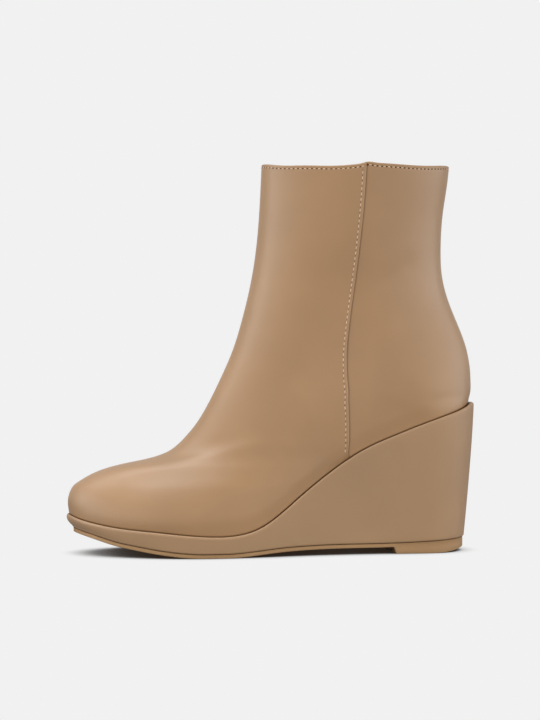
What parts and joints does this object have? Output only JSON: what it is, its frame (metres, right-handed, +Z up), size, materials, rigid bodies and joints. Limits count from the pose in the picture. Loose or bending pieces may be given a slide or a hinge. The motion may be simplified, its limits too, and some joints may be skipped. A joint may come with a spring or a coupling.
{
  "type": "wedge ankle boot",
  "caption": "Wedge ankle boot with a round toe, plain shaft with side seams, covered wedge and platform in one, and a thin rubber sole with a heel pad.",
  "frame": {"origin": "on the floor, under the middle of the boot's length and width", "axes": "+X from heel to toe, +Y to the outer (little-toe) side, +Z up"},
  "size_m": [0.242, 0.0877, 0.2284],
  "materials": {
    "upper_leather": "smooth tan coated leather with a soft satin gloss",
    "wedge_cover": "the same smooth tan leather, wrapped round the wedge and platform",
    "sole_rubber": "matt tan rubber, moulded",
    "footbed_lining": "matt pale tan lining"
  },
  "bodies": {
    "root": {"upper": "upper_leather", "wedge": "wedge_cover", "outsole": "sole_rubber", "footbed": "footbed_lining"}
  },
  "joints": []
}
